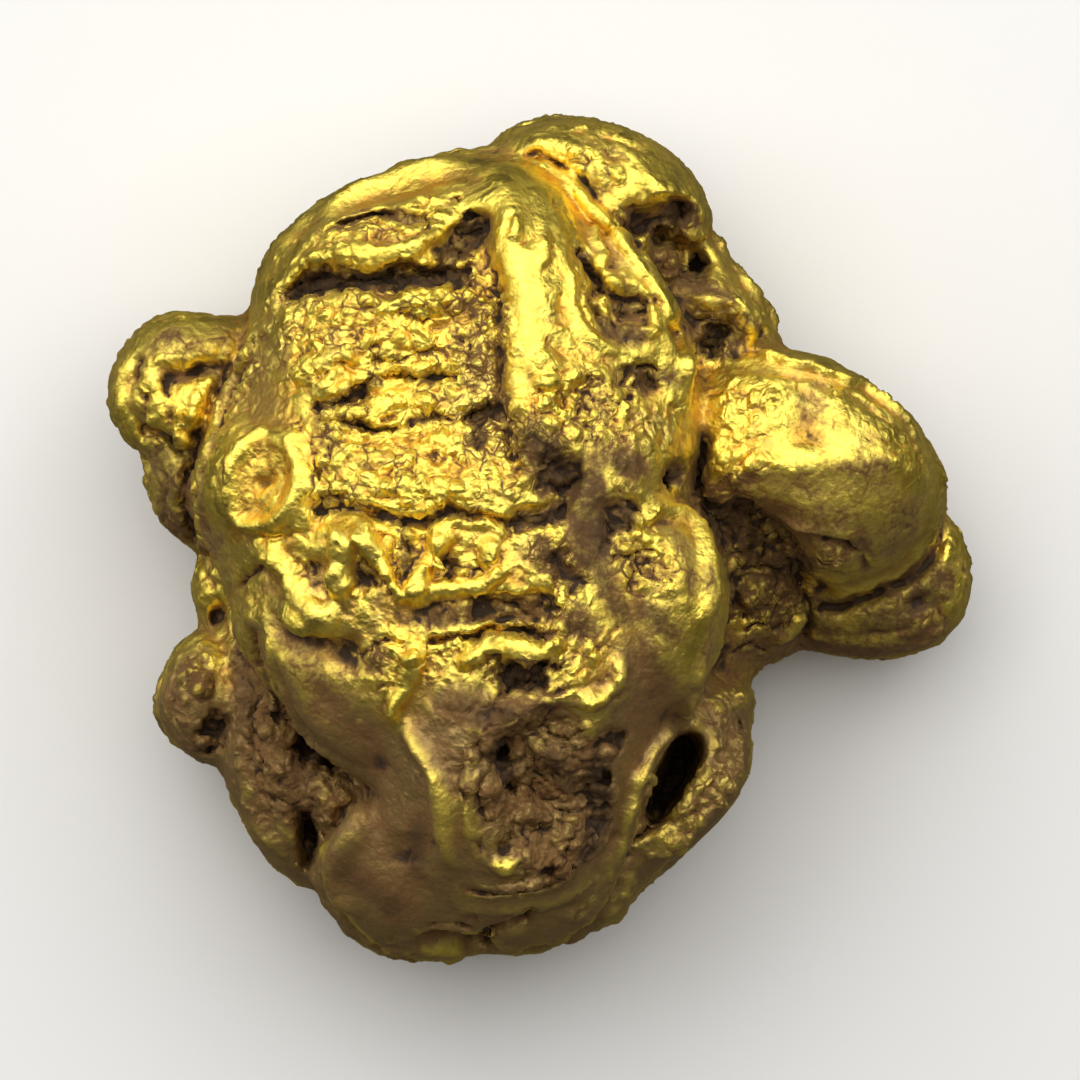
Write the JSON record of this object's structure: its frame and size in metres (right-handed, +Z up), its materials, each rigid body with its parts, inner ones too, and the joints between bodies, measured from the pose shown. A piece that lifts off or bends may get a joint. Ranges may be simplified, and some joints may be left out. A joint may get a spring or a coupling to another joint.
{
  "type": "gold nugget",
  "caption": "Natural placer gold nugget: a thick folded body with blunt lobes, cracks and pockets, resting on a worn flat.",
  "frame": {"origin": "under the middle of the nugget's box, on the surface that it lies on", "axes": "+Z up out of the broad upper face, +X towards the large lobe at the right, +Y towards the folded cap at the top"},
  "size_m": [0.0216, 0.021, 0.0121],
  "materials": {
    "gold": "native gold, burnished on the high folds, finely pitted and stained brown in the hollows"
  },
  "bodies": {
    "root": {"nugget": "gold"}
  },
  "joints": []
}
